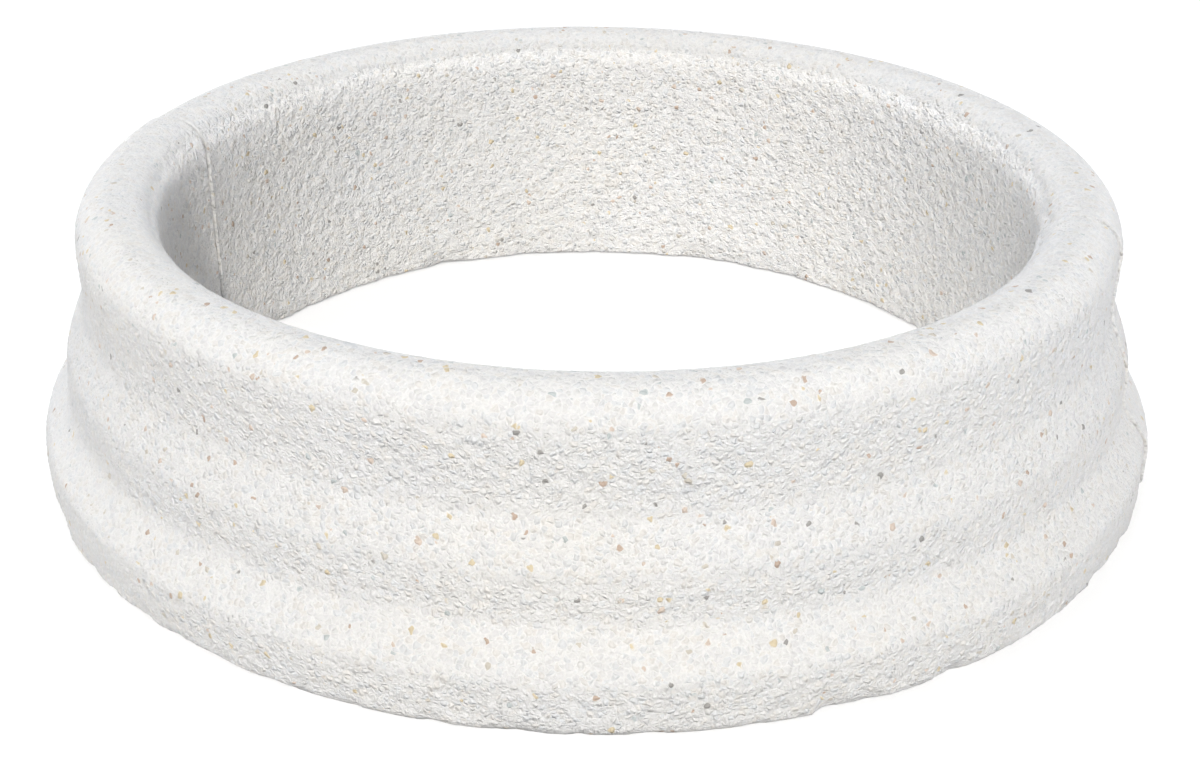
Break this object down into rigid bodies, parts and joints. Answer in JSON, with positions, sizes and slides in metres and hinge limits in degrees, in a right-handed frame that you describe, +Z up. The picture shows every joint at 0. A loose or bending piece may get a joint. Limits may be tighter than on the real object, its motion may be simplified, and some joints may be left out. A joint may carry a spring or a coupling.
{
  "type": "tree surround ring",
  "caption": "Raised concrete ring of two half rings with a round lip and stepped, rolled sides, laid round the foot of a tree to hold soil or mulch.",
  "frame": {"origin": "on the ground in the middle of the ring, in the plane of the joint between the halves", "axes": "+Z up; X runs along the joint between the two halves, +X to the joint that is on the right in the picture; -Y is towards the front half"},
  "size_m": [1.003, 1, 0.25],
  "materials": {
    "washed_concrete": "washed marble aggregate concrete"
  },
  "bodies": {
    "root": {"front_half_ring": "washed_concrete", "back_half_ring": "washed_concrete"}
  },
  "joints": []
}
